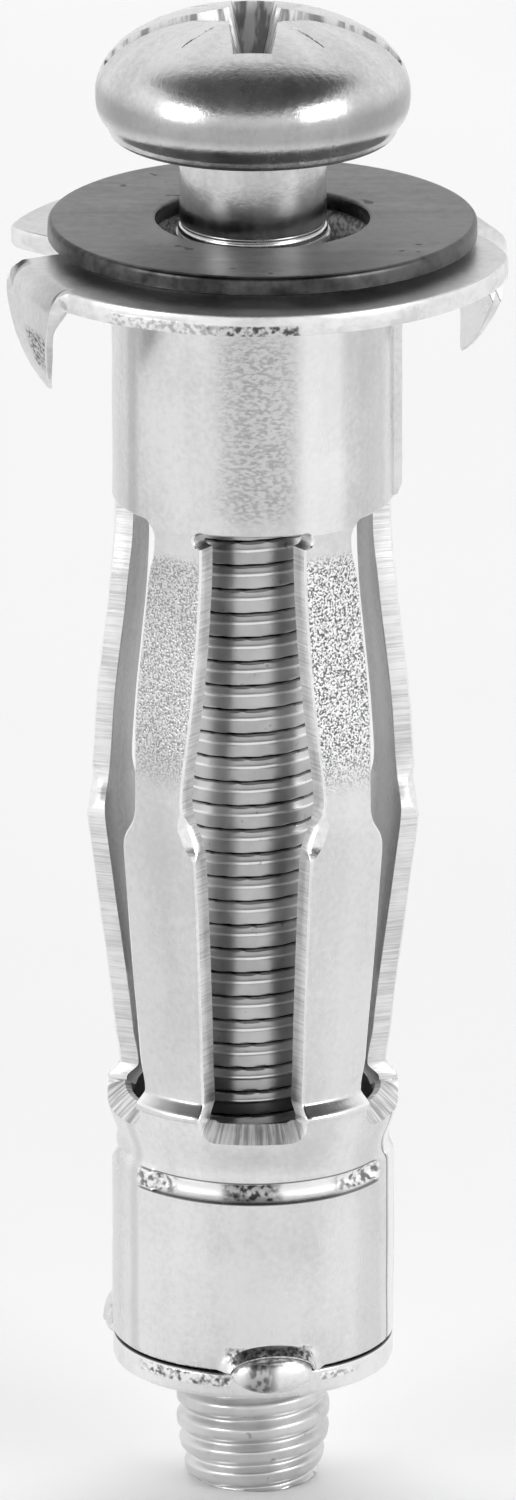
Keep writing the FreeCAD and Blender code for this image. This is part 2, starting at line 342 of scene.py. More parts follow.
def cut_face(name, light, dark, rough, stretch, *patches, around=False):
    """Sheared sheet edge: fine lines across its thickness."""
    n = Nodes(name)
    place, turn, r, z = n.around()
    lines = n.noise(1000, 3, 0.75, stretch=stretch, distortion=0.3, place=place if around else None)
    broad = n.noise(700, 3, 0.6)
    both = n.plus(n.times(lines, 0.7), n.times(broad, 0.3))
    colour = n.blend(n.spread(both, 0.36, 0.60), grey(dark), grey(light))
    normal = n.bump(lines, 0.55, 1.6e-5)
    for speckle in patches:
        colour, normal = n.patch(speckle, colour, normal, turn, z, r)
    return n.done(colour, n.spread(broad, 0.3, 0.7, rough - 0.05, rough + 0.1), normal)


def speckled(scale, dark, light, amount, bump, **more):
    """A patch's speckle, with its ranges, stretch and edge scale in more."""
    return dict(scale=scale, dark=dark, light=light, amount=amount, bump=bump, **more)


def make_collar_material():
    worn = speckled(8000, 0.26, 0.60, 0.62, 0.9, turn=(-2.2, 0.0, 0.4, 2.2),
                    z=(-7.8, -6.6, -1.6, -0.6), stretch=(0.7, 1.0, 1.4), edge=520)
    # The stripes are painted reflections: a dark one of the spike's shadow, a bright one and a grey
    # one.
    stripes = (((-5.0, -4.7, -4.5, -4.1), 0.34, 0.40),
               ((1.2, 1.8, 2.8, 3.4), 1.0, 0.45), ((3.6, 4.0, 5.0, 5.6), 0.50, 0.35))
    return plated("plated_collar", 0.78, 0.60, 0.27, worn, stripes=stripes)


def make_pressed_material():
    """Lower collar: a painted highlight on the groove, painted shade at its edges, speckled ends,
    a dark seam line, and painted reflections.
    """
    groove = (-29.9, -29.84, -29.36, -29.3)
    pressed = (-4.4, -4.0, 4.7, 5.1)
    painted_upper_groove_shade = (-29.34, -29.31, -29.28, -29.25)
    painted_lower_groove_shade = (-30.0, -29.96, -29.92, -29.88)
    hood = (-35.36, -35.24, -34.84, -34.72)
    # Stripes: a dark seam line, a painted highlight beside it, and two painted reflections.
    stripes = (((5.5, 5.55, 5.69, 5.73), 0.10, 0.85), ((5.74, 5.78, 6.4, 6.7), 1.0, 0.7),
               ((-4.8, -4.5, -4.4, -4.1), 0.48, 0.40), ((3.4, 4.2, 4.8, 5.4), 0.56, 0.35))
    return plated(
        "plated_pressed_groove", 0.84, 0.68, 0.25,
        # A painted highlight over the groove, and painted shade lines along its upper and lower
        # edges.
        speckled(900, 1.0, 1.0, 0.9, 0.0, turn=pressed, z=groove),
        speckled(900, 0.10, 0.10, 0.8, 0.0, turn=pressed, z=painted_upper_groove_shade),
        speckled(900, 0.10, 0.10, 0.8, 0.0, turn=pressed, z=painted_lower_groove_shade),
        speckled(5200, 0.02, 0.55, 0.95, 0.6, turn=(-1.4, -0.6, 0.5, 1.3), z=groove, edge=1400),
        speckled(5200, 0.06, 1.0, 0.8, 0.7, turn=(-4.5, -4.0, -3.3, -2.2), z=groove, edge=1400),
        speckled(5200, 0.06, 1.0, 0.8, 0.7, turn=(2.4, 3.6, 4.8, 5.2), z=groove, edge=1400),
        speckled(6000, 0.03, 0.60, 0.85, 0.6, turn=(-1.0, -0.7, 1.7, 2.1), z=hood, edge=1400),
        stripes=stripes, matt=(groove, (0.0, 0.1, 4.42, 4.49), 0.30))


def make_rim_material():
    dark = speckled(5200, 0.03, 0.65, 0.92, 0.8, turn=(-1.2, -0.6, 0.7, 1.0),
                    z=(-0.1, 0.02, 0.3, 0.4))
    faint = speckled(6500, 0.20, 0.90, 0.5, 0.6, turn=(-3.0, -2.4, -0.8, -0.4),
                     z=(-0.1, 0.02, 0.34, 0.46))
    return cut_face("plated_rim_edge", 0.88, 0.70, 0.32, (1.5, 0.3, 1.2), dark, faint, around=True)


def make_nut_material():
    """Nut: two speckled stretches of its rim, and painted shade in the gap above the rim."""
    left = speckled(5200, 0.08, 0.95, 0.9, 0.7, turn=(-4.6, -3.4, -0.8, -0.6),
                    z=(-36.18, -36.1, -35.8, -35.74))
    right = speckled(5600, 0.25, 1.0, 0.7, 0.7, turn=(2.1, 2.3, 3.2, 4.2),
                     z=(-36.12, -36.04, -35.9, -35.82))
    # Painted shade in the gap between the nut and the lower collar.
    gap = ((-35.74, -35.7, -35.62, -35.58), 0.04, 0.95)
    return plated("plated_nut", 0.92, 0.80, 0.26, left, right, painted_bands=(gap,))


def make_lug_material():
    # Painted reflection: a dark speckled streak down the front lug.
    painted_reflection_streak = speckled(5200, 0.02, 0.45, 0.85, 0.5, turn=(-0.6, 0.1, 0.3, 1.0),
                      z=(-36.4, -36.1, -35.3, -35.1), stretch=(1.0, 1.0, 0.6))
    above = speckled(5200, 0.05, 0.90, 0.6, 0.6, turn=(-1.0, -0.8, 2.0, 2.2),
                     z=(-35.3, -35.18, -35.0, -34.8))
    return plated("plated_lug", 0.98, 0.76, 0.30, painted_reflection_streak, above, grain=0.8)


def make_materials():
    rough_legs = (-17.2, -14.5, -9.0, -8.2)
    # Painted highlight: a bright band along the legs' foot ledge.
    painted_ledge_highlight = (((-27.16, -27.08, -26.84, -26.78), 1.0, 0.9),)
    spike = speckled(6500, 0.02, 0.60, 0.95, 0.9, turn=(-5.3, -5.05, -4.3, -4.1),
                     z=(-2.7, -2.2, -1.3, -0.8), stretch=(0.6, 1.0, 1.3))
    bore = speckled(7000, 0.35, 1.0, 0.7, 0.5, r=(0.0, 0.1, 5.0, 6.0))
    left = speckled(15000, 0.18, 0.66, 0.75, 0.7, z=rough_legs)
    right = speckled(14000, 0.07, 0.97, 0.9, 0.8, z=rough_legs)
    # Painted shade: a dark ring round the head's side, standing for a dark reflection.
    shade = ((5.0, 5.45, 5.75, 6.45), 0.22, 0.60)
    return {
        "sheet": plated("plated_sheet", 0.76, 0.60, 0.27, painted_bands=painted_ledge_highlight),
        "collar": make_collar_material(),
        "top": plated("plated_flange_top", 0.76, 0.60, 0.40, spike, grain=0.9),
        "bore": plated("plated_bore", 1.0, 0.80, 0.75, bore),
        "speckled_left": plated("plated_sheet_grain_left", 0.74, 0.60, 0.28, left, painted_bands=painted_ledge_highlight),
        "speckled_right": plated("plated_sheet_grain_right", 0.80, 0.66, 0.27, right, painted_bands=painted_ledge_highlight),
        "pressed": make_pressed_material(),
        "cut": cut_face("plated_cut_edge", 0.82, 0.56, 0.36, (0.35, 0.35, 15.0)),
        "rim": make_rim_material(),
        "radial": cut_face("plated_slot_edge", 0.98, 0.45, 0.55, (7.0, 0.4, 0.4), around=True),
        # The lower collar's inner faces are darker as painted shade.
        "inside": plated("plated_inside_painted_shade", 0.46, 0.32, 0.36),
        # The legs' inner sides are darker as painted shade.
        "shaded": plated("plated_inner_side_painted_shade", 0.62, 0.44, 0.45, grain=0.8),
        "crushed": plated("plated_crushed", 0.97, 0.78, 0.20, grain=0.8),
        "nut": make_nut_material(),
        "lug": make_lug_material(),
        "screw": plated("plated_screw", 0.74, 0.56, 0.22, grain=0.5),
        "head": plated("plated_screw_head", 0.76, 0.56, 0.24, grain=0.9, painted_bands=(shade,)),
        "thread": make_thread_material(),
        "recess": make_recess_material(),
        "washer": make_washer_material("plated_dark_washer", 0.26, 0.155, 0.42),
        "washer_edge": make_washer_material("plated_dark_washer_edge", 0.13, 0.035, 0.30),
    }


def make_thread_material():
    """Rolled thread: painted shade in thin roots, painted highlights on lips, a paler clean tip."""
    n = Nodes("plated_thread")
    r, z = n.around()[2:]
    fine = n.noise(4200, 2, 0.6)
    broad = n.noise(420, 3, 0.6)
    tip = n.spread(z, -0.0372, -0.0362)
    used = n.blend(n.spread(broad, 0.35, 0.65), grey(0.44), grey(0.60))
    clean = n.blend(n.spread(broad, 0.35, 0.65), grey(0.58), grey(0.74))
    colour = n.blend(tip, clean, used)
    # Painted shade: the thin roots are darkened.
    painted_root_shade = n.times(n.spread(r, 0.00224, 0.00234, 1.0, 0.0), tip)
    colour = n.blend(painted_root_shade, colour, grey(0.07))
    # Painted highlight: a bright line on each crest's lip, broken up by the broad noise.
    lip = n.times(n.spread(r, 0.002447, 0.002452), n.spread(broad, 0.30, 0.45, 0.3, 0.8))
    colour = n.blend(n.times(lip, tip), colour, grey(1.0))
    worn = n.spread(n.noise(2600, 2, 0.6), 0.68, 0.73)
    colour = n.blend(n.times(worn, 0.5), colour, grey(0.2))
    return n.done(colour, n.spread(broad, 0.3, 0.7, 0.28, 0.38), n.bump(fine, 0.25, 8e-6))


def make_recess_material():
    """Punched recess: drawn bright walls, and darker floors as painted shade."""
    n = Nodes("plated_recess")
    up = n.split(n.add("ShaderNodeNewGeometry").outputs["Normal"])[2]
    # Up-facing floors of the recess get darker colour as painted shade.
    floor = n.spread(up, 0.55, 0.90)
    drawn = n.noise(2600, 3, 0.6, stretch=(1.0, 1.0, 0.12))
    walls = n.blend(n.spread(drawn, 0.40, 0.58), grey(0.40), grey(1.0))
    painted_shade_floors = n.blend(n.spread(drawn, 0.40, 0.60), grey(0.10), grey(0.34))
    return n.done(n.blend(floor, walls, painted_shade_floors), n.spread(drawn, 0.3, 0.7, 0.40, 0.60),
                  n.bump(drawn, 0.6, 1.5e-5))


def make_washer_material(name, light, dark, rough):
    """Tumbled dark steel: cloudy tone, faint brushing and small pits."""
    n = Nodes(name)
    broad = n.noise(240, 4, 0.6, distortion=0.5)
    fine = n.noise(2600, 3, 0.6)
    brush = n.noise(650, 3, 0.7, stretch=(0.25, 1.6, 1.0), distortion=0.5)
    tone = n.plus(n.times(broad, 0.5), n.plus(n.times(fine, 0.22), n.times(brush, 0.28)))
    colour = n.blend(n.spread(tone, 0.38, 0.62), grey(dark), grey(light))
    spots = n.spread(n.noise(1500, 1, 0.5), 0.71, 0.75)
    colour = n.blend(spots, colour, grey(0.05))
    normal = n.bump(fine, 0.4, 1.2e-5)
    return n.done(colour, n.spread(broad, 0.3, 0.7, rough - 0.06, rough + 0.08), normal)


# Flange, spikes and upper collar --------------------------------------------------------------

# Material numbers along a loop of the flange collar
COLLAR_FACE, CUT, RIM, TOP, BORE = range(5)
COLLAR_COLUMNS = 540
BORE_R = SLEEVE_R - SHEET
BORE_ROUND = 0.55
NECK_ROUND = 0.28
EDGE_ROUND = 0.07
# A cut edge starts this far from the face beside it
HAIR = 0.001

# Flange: a raised inner ring, two notches (apex and an end of each side), and its edge's profile
# as (how far in, in edge rounds, height, material number)
FLANGE_R = 8.10
FLANGE_SHIFT = 0.12
RAISED_R = 5.75
RAISED_IN_R = 4.8
RAISE = 0.25
LEFT_NOTCH = ((-4.90, -0.45), (-8.90, -2.59), (-8.90, 2.79))
RIGHT_NOTCH = ((6.84, 1.69), (8.90, -1.99), (9.70, 2.40))
NOTCH_DEEP_R = 5.70
NOTCH_ROUND = 1.0
NO_NOTCH = 99.0
RIM_PROFILE = ((0.3, 0.02, RIM), (0.0, 0.09, RIM), (0.0, 0.25, RIM), (0.0, 0.42, RIM),
               (0.0, SHEET - 0.09, RIM), (0.35, SHEET - 0.02, COLLAR_FACE))

# Spikes, each with its azimuth and the distance from the axis at which its bend starts
SPIKES = ((-68, 7.26), (112, 7.52))
SPIKE_SPAN = 0.62
SPIKE_SEARCH = 0.5
SPIKE_CORE = 0.33
SPIKE_REACHES = (7.0, 12.5)
SPIKE_CURL = 0.082
SPIKE_LENGTH = 4.36
SPIKE_TIP_R = 0.14
SPIKE_BACK = -1.90
SPIKE_FRONT = 2.80
SPIKE_TIP = -0.55
BEND_IN_R = 0.05
BEND_NEUTRAL = 0.40
BEND_ANGLE = math.radians(92)

# Seam of the rolled sheet
SEAM_AZIMUTH = 85.0
SEAM_FAR_AZIMUTH = 101.0
SEAM_PROUD = 0.26
SEAM_END_Z = -7.25

# Slots between the legs. The front one is lower, with a round lobe at each top corner.
SLOT_TOP_Z = -7.55
FRONT_SLOT_TOP_Z = -7.70
FRONT_SLOT_HALF = 36
FILLET = 0.55
LOBE_R = 0.27
LOBE_Z = -7.93

# Half widths of a leg in degrees by height: of a side or rear leg, and of a front leg on the side
# of the front slot and on the other side
LEG_WIDE = ((-27.3, 15.0), (-26.5, 15.0), (-23.4, 15.6), (-20.5, 17.6), (-18.5, 18.0),
            (-17.95, 17.2), (-17.2, 13.2), (-16.5, 12.3), (-13.5, 13.2), (-10.5, 12.6), (-8.7, 9.8),
            (-8.1, 9.2))
LEG_NEAR = ((-27.3, 14.2), (-26.5, 14.2), (-23.4, 15.0), (-20.5, 15.4), (-18.35, 15.3),
            (-17.9, 14.6), (-16.9, 10.2), (-16.2, 9.6), (-13.5, 12.5), (-10.0, 14.2), (-7.6, 14.2))
LEG_FAR = ((-27.3, 18.0), (-26.5, 18.0), (-22.5, 17.3), (-18.5, 16.0), (-17.95, 15.3),
           (-17.35, 11.7), (-16.8, 10.8), (-13.6, 13.0), (-10.5, 12.4), (-9.3, 11.6), (-8.7, 9.6),
           (-8.1, 8.8))


def fillet(z):
    """How far a leg's edge flares where it meets the collar, at a height."""
    down = SLOT_TOP_Z - z
    if down >= FILLET:
        return 0.0
    return FILLET - math.sqrt(FILLET**2 - (FILLET - max(down, 0.0))**2)


def leg_edges(azimuth, z):
    """The two azimuths, from the leg's middle, that its sheet ends at, without the lobes."""
    flare = math.degrees(fillet(z) / SLEEVE_R)
    wide = flare + table(LEG_WIDE, z)
    near = table(LEG_NEAR, z)
    far = flare + table(LEG_FAR, z)
    if azimuth == FRONT_LEFT:
        return -far, near
    if azimuth == FRONT_RIGHT:
        return -near, far
    return -wide, wide


def notch_reach(azimuth, notch):
    """Distance from the axis to a wedge-shaped notch's edge, along an azimuth."""
    apex, first, second = notch
    direction = polar(azimuth, 1, 0)
    found = []
    for end in (first, second):
        ex, ey = end[0] - apex[0], end[1] - apex[1]
        cross = direction.x * ey - direction.y * ex
        if abs(cross) < 1e-9:
            continue
        reach = (apex[0] * ey - apex[1] * ex) / cross
        along = (direction.x * reach - apex[0]) * ex + (direction.y * reach - apex[1]) * ey
        if reach > 0 and along >= 0:
            found.append(reach)
    return min(found) if found else NO_NOTCH


def spike_outline(u, bend_start):
    """How far past the bend's start the flat sheet goes, at a place u along the bend."""
    rim = math.sqrt(FLANGE_R**2 - u * u) - bend_start
    if u <= SPIKE_BACK or u >= SPIKE_FRONT:
        return rim
    off = math.sqrt((u - SPIKE_TIP)**2 + SPIKE_TIP_R**2)
    if u < SPIKE_TIP:
        span, power = SPIKE_TIP - SPIKE_BACK, 1.5
    else:
        span, power = SPIKE_FRONT - SPIKE_TIP, 1.3
    return max(rim, mix(SPIKE_LENGTH, rim, (off / span)**power))


def sheet_reach(azimuth):
    """Where the flange's flat pattern ends along an azimuth."""
    a = math.radians(azimuth)
    reach = FLANGE_SHIFT * math.sin(a) + math.sqrt(FLANGE_R**2 - (FLANGE_SHIFT * math.cos(a))**2)
    for spike, bend_start in SPIKES:
        off = math.radians(wrapped(azimuth - spike))
        if abs(off) < SPIKE_SEARCH:
            low, high = SPIKE_REACHES
            for _ in range(30):
                middle = (low + high) / 2
                u = middle * math.sin(off)
                v = middle * math.cos(off) - bend_start
                if v < spike_outline(u, bend_start):
                    low = middle
                else:
                    high = middle
            reach = max(reach, low) if abs(off) < SPIKE_CORE else reach
    cut = min(notch_reach(azimuth, LEFT_NOTCH), notch_reach(azimuth, RIGHT_NOTCH))
    near = max(0.0, 1 - abs(cut - reach) / NOTCH_ROUND)
    return max(NOTCH_DEEP_R, min(cut, reach) - near * near * NOTCH_ROUND / 4)


def folded(azimuth, reach, height):
    """Point of the flange's flat pattern, with its spikes bent down."""
    for spike, bend_start in SPIKES:
        off = math.radians(wrapped(azimuth - spike))
        if abs(off) < SPIKE_SPAN:
            u = reach * math.sin(off)
            v = reach * math.cos(off) - bend_start
            amount = (smooth(SPIKE_BACK - 0.9, SPIKE_BACK - 0.1, u)
                      * (1 - smooth(SPIKE_FRONT - 0.05, SPIKE_FRONT + 0.12, u)))
            if v > 0 and amount > 0:
                angle = min(v / BEND_NEUTRAL, BEND_ANGLE)
                rest = v - angle * BEND_NEUTRAL
                thinned = mix(1.0, 0.42, smooth(0.6, 1.5, v)) - 0.28 * smooth(2.2, 4.2, v)
                radius = BEND_IN_R + SHEET - (SHEET - height) * mix(1.0, thinned, amount)
                out = (bend_start + radius * math.sin(angle) + rest * math.cos(angle)
                       - SPIKE_CURL * rest**2)
                level = (-BEND_IN_R + radius * math.cos(angle) - rest * math.sin(angle)
                         + SPIKE_CURL**2 * rest**3 * 0.67)
                out = mix(bend_start + v, out, amount)
                level = mix(height, level, amount)
                a = math.radians(spike)
                return Vector((out * math.sin(a) + u * math.cos(a),
                               -out * math.cos(a) + u * math.sin(a), level))
    return polar(azimuth, reach, height)


def collar_bottom(azimuth):
    """Lower edge of the upper collar, with leg stubs, fillets and lobes, and its chamfer."""
    off = wrapped(azimuth)
    leg = min(LEG_AZIMUTHS, key=lambda a: abs(wrapped(off - a)))
    low, high = leg_edges(leg, SPLIT_Z)
    place = wrapped(off - leg)
    if low <= place <= high:
        level = SPLIT_Z
    elif abs(off) < FRONT_SLOT_HALF:
        level = FRONT_SLOT_TOP_Z
    else:
        gap = (abs(place) - min(high, abs(low))) * math.radians(1) * SLEEVE_R + fillet(SPLIT_Z)
        gap = min(max(gap, 0.0), FILLET)
        level = SLOT_TOP_Z - FILLET + math.sqrt(FILLET**2 - (FILLET - gap)**2)
        level = max(SPLIT_Z, level)
    if abs(off) < FRONT_SLOT_HALF:
        edge = high if leg < 0 else low
        away = abs(place - edge) * math.radians(1) * SLEEVE_R
        if away < LOBE_R:
            level = max(level, LOBE_Z + math.sqrt(LOBE_R**2 - away**2))
    return level, 0.0 if level == SPLIT_Z else 0.05


def proud(azimuth, z):
    """How far the seam's overlapping edge stands out of the collar."""
    a = azimuth % 360
    across = (smooth(SEAM_AZIMUTH - 1.2, SEAM_AZIMUTH + 0.4, a)
              * (1 - smooth(SEAM_FAR_AZIMUTH - 9, SEAM_FAR_AZIMUTH, a)))
    along = smooth(SEAM_END_Z - 0.5, SEAM_END_Z, z)
    return SEAM_PROUD * across * along * (1 - smooth(-0.9, -0.1, z) * 0.5)


def flange_loop(azimuth):
    """Closed loop round the sheet's section: collar, flange underside, rim, top and bore."""
    bottom, chamfer = collar_bottom(azimuth)
    reach = sheet_reach(azimuth)
    edge = reach - EDGE_ROUND
    loop = [(dent(polar(azimuth, SLEEVE_R + proud(azimuth, z), z)), COLLAR_FACE)
            for z in steps(bottom + chamfer + HAIR, -NECK_ROUND, 21)]
    for j in range(1, 5):
        a = math.radians(90 * j / 4)
        extra = proud(azimuth, -NECK_ROUND) * (1 - j / 4)
        r = SLEEVE_R + NECK_ROUND + extra - NECK_ROUND * math.cos(a)
        loop.append((polar(azimuth, r, -NECK_ROUND + NECK_ROUND * math.sin(a)), COLLAR_FACE))
    loop += [(folded(azimuth, r, 0.0), COLLAR_FACE)
             for r in steps(SLEEVE_R + NECK_ROUND, edge, 33)[1:]]
    loop += [(folded(azimuth, reach - EDGE_ROUND * inward, height), kind)
             for inward, height, kind in RIM_PROFILE]
    loop += [(folded(azimuth, r, SHEET), TOP) for r in steps(edge, RAISED_R + RAISE, 32)]
    for r in steps(RAISED_R + RAISE, RAISED_R, 5)[1:]:
        rise = RAISE * smooth(RAISED_R + RAISE, RAISED_R, r)
        loop.append((polar(azimuth, r, SHEET + rise), TOP))
    loop.append((polar(azimuth, RAISED_IN_R, SHEET + RAISE), TOP))
    for j in range(7):
        a = math.radians(90 * j / 6)
        z = SHEET + RAISE - BORE_ROUND + BORE_ROUND * math.cos(a)
        loop.append((polar(azimuth, BORE_R + BORE_ROUND - BORE_ROUND * math.sin(a), z), BORE))
    for j, z in enumerate(steps(0.35, bottom + 0.04, 8)[1:], start=1):
        loop.append((polar(azimuth, BORE_R, z), CUT if j == 8 else BORE))
    loop.append((polar(azimuth, BORE_R + 0.04, bottom), CUT))
    loop.append((dent(polar(azimuth, SLEEVE_R - chamfer - HAIR, bottom)), CUT))
    return loop


def make_flange_collar():
    return revolved("sleeve_flange_collar", flange_loop, COLLAR_COLUMNS,
                    ("collar", "cut", "rim", "top", "bore"))


# Legs ----------------------------------------------------------------------------------------

OUTER = ((-27.30, 4.66), (-27.16, 4.65), (-27.07, 4.60), (-26.80, 4.31), (-26.70, 4.27),
         (-26.4, 4.255), (-26.0, 4.27), (-24.65, 4.39), (-22.97, 4.58), (-21.3, 4.76),
         (-19.63, 4.94), (-18.6, 5.06), (-17.95, 5.11), (-17.3, 5.11), (-16.28, 5.05),
         (-14.6, 4.93), (-12.93, 4.75), (-11.25, 4.56), (-9.6, 4.44), (-8.4, 4.44), (-7.62, 4.47))


def lobe_bite(z):
    return math.sqrt(LOBE_R**2 - (z - LOBE_Z)**2) if abs(z - LOBE_Z) < LOBE_R else 0.0


def plate(azimuth, off, r, flat, z):
    """Point of a leg's face, which flattens from the sleeve's round towards a plane."""
    angle = math.radians(off)
    return polar(azimuth + off, r * (1 + flat * (1 / math.cos(angle) - 1)), z)


def leg_section(azimuth, outer, inner, low, high, chamfers, flat):
    """Closed loop around a leg: outer face, far side, inner face, near side, its sides parallel."""
    outer_r, outer_z = outer
    inner_r, inner_z = inner
    low_turn, high_turn = (math.degrees(chamfer / outer_r) for chamfer in chamfers)
    low_deep, high_deep = (min(chamfer / SHEET, 0.6) for chamfer in chamfers)
    narrow = outer_r / inner_r

    def at(off, depth):
        r = mix(outer_r, inner_r, depth)
        return plate(azimuth, off * outer_r / r, r, flat, mix(outer_z, inner_z, depth))

    loop = [dent(at(mix(low + low_turn, high - high_turn, j / 12), 0)) for j in range(13)]
    loop += [at(high - high_turn * (1 - s) * 0.6, high_deep * s) for s in (0.5, 1.0)]
    loop += [at(high, 0.75), at(high, 0.95)]
    for j in range(5):
        off = mix(high, low, j / 4) * 0.96
        loop.append(plate(azimuth, off * narrow, inner_r, flat, inner_z))
    loop += [at(low, 0.95), at(low, 0.75)]
    return loop + [at(low + low_turn * (1 - s) * 0.6, low_deep * s) for s in (1.0, 0.5)]


# Material numbers around a leg's section: face, cut side, crushed corner and inner side
LEG_KINDS = [0] * 12 + [2, 2, 1, 1, 3] + [3] * 4 + [3, 1, 1, 2, 2]
SHARP_CORNER = 0.06
KNEE_CRUSH = 0.27
FOOT_OUT_R = 0.74
FOOT_IN_R = 0.02


def leg_rows(azimuth, rows):
    """Sections of a leg at a list of heights."""
    sections = []
    for z in rows:
        low, high = leg_edges(azimuth, z)
        bite = math.degrees(lobe_bite(z) / SLEEVE_R)
        low += bite if azimuth == FRONT_RIGHT else 0.0
        high -= bite if azimuth == FRONT_LEFT else 0.0
        crushed = KNEE_CRUSH * smooth(-18.4, -17.8, z) * (1 - smooth(-17.4, -16.7, z))
        chamfers = [SHARP_CORNER + (crushed * 0.15 if azimuth == plain else crushed)
                    for plain in (FRONT_LEFT, FRONT_RIGHT)]
        flat = 0.85 * (1 - smooth(-10.5, -7.8, z)) * smooth(-27.0, -25.5, z)
        r = table(OUTER, z)
        sections.append(leg_section(azimuth, (r, z), (r - SHEET, z), low, high, chamfers, flat))
    return sections


def leg_piece(name, azimuth, sections):
    face = {FRONT_LEFT: "speckled_left", FRONT_RIGHT: "speckled_right"}.get(azimuth, "sheet")
    return build(name, sections, False, LEG_KINDS, (face, "cut", "crushed", "shaded"))


def make_leg_upper(number, azimuth):
    rows = steps(SPLIT_Z, -8.6, 26) + steps(-8.6, MIDDLE_Z, 26)[1:]
    piece = leg_piece(f"sleeve_leg_{number}_upper", azimuth, leg_rows(azimuth, rows))
    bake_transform(piece)
    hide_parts(f"leg_{number}_upper")
    return piece


def make_leg_lower(number, azimuth):
    rows = steps(MIDDLE_Z, -16.4, 24) + steps(-16.4, -18.8, 40)[1:] + steps(-18.8, -26.7, 40)[1:]
    rows += steps(-26.7, FOOT_Z + 0.005, 14)[1:]
    sections = leg_rows(azimuth, rows)
    low, high = leg_edges(azimuth, FOOT_Z)
    for i in range(1, 9):
        a = math.radians(180 + 88 * i / 8)
        across, up = math.cos(a), math.sin(a)
        inner = (PIVOT_R + FOOT_OUT_R * across, FOOT_Z + FOOT_OUT_R * up)
        outer = (PIVOT_R + FOOT_IN_R * across - 0.01, FOOT_Z + FOOT_IN_R * up)
        sections.append(leg_section(azimuth, outer, inner, low + 0.3, high - 0.3,
                                    (0.01, 0.01), 0.0))
    piece = leg_piece(f"sleeve_leg_{number}_lower", azimuth, sections)
    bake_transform(piece)
    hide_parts(f"leg_{number}_lower")
    return piece


# Lower collar and nut -------------------------------------------------------------------------

PRESSED, RADIAL, INSIDE = range(3)
SLOT_BOTTOM_Z = -27.84
SLOT_INNER_RISE = 0.46
SLOT_HALF = 22.0
SLOT_CORNER = 0.60
COLLAR_END_Z = -35.60
COLLAR = ((-35.60, 4.50), (-35.3, 4.525), (-33.0, 4.52), (-30.7, 4.52), (-29.8, 4.515),
          (-29.5, 4.51), (-29.36, 4.48), (-29.2, 4.38), (-29.0, 4.345), (-28.75, 4.37),
          (-28.4, 4.50), (-28.1, 4.61), (-27.85, 4.665), (-27.6, 4.67), (-27.3, 4.66))
GROOVE_Z = -29.60
GROOVE_HALVES = (56.0, 40.0, 40.0)
WINDOW_HALF = 16.8
LUG_MIDDLE_Z = -35.68
WINDOW_RISE = 0.66
HOOD = 0.34
SEAM_LINE_AZIMUTH = 72.5
SEAM_LINE_DEPTH = 0.10
COLLAR_R = 4.52
COLLAR_IN_R = 3.9
GROOVE_DEPTH = 0.27
GROOVE_HALF_H = 0.33
GROOVE_END = 5


def nearest(azimuth, places):
    return min((wrapped(azimuth - p) for p in places), key=abs)


def collar_top(azimuth, half, corner, floor):
    """Upper edge of the lower collar: at the legs' feet, with round-cornered slots between."""
    off = abs(nearest(azimuth, [a + 36 for a in LEG_AZIMUTHS]))
    side = (half - off) * math.radians(1) * COLLAR_R
    if side < 0:
        return FOOT_Z
    if side >= corner:
        return floor
    return min(FOOT_Z, floor + corner - math.sqrt(corner**2 - (corner - side)**2))


def lug_distance(azimuth, z):
    """1 on the outline of a lug's window, less inside it."""
    off = nearest(azimuth, LUG_AZIMUTHS) / WINDOW_HALF
    return math.hypot(off, max(0.0, z - LUG_MIDDLE_Z) / WINDOW_RISE)


def window_top(azimuth):
    off = abs(nearest(azimuth, LUG_AZIMUTHS)) / WINDOW_HALF
    if off >= 1:
        return COLLAR_END_Z
    return max(COLLAR_END_Z, LUG_MIDDLE_Z + WINDOW_RISE * math.sqrt(1 - off * off))


def collar_radius(azimuth, z):
    arc = max(1 - smooth(half - GROOVE_END, half, abs(wrapped(azimuth - lug)))
              for lug, half in zip(LUG_AZIMUTHS, GROOVE_HALVES))
    press = max(0.0, 1 - ((z - GROOVE_Z) / GROOVE_HALF_H)**2)
    seam = max(0.0, 1 - abs(wrapped(azimuth - SEAM_LINE_AZIMUTH)))
    hood = smooth(1.42, 0.98, lug_distance(azimuth, z)) * smooth(-33.2, -34.0, z)
    return (table(COLLAR, z) - GROOVE_DEPTH * press**0.7 * arc - SEAM_LINE_DEPTH * seam
            + HOOD * hood)


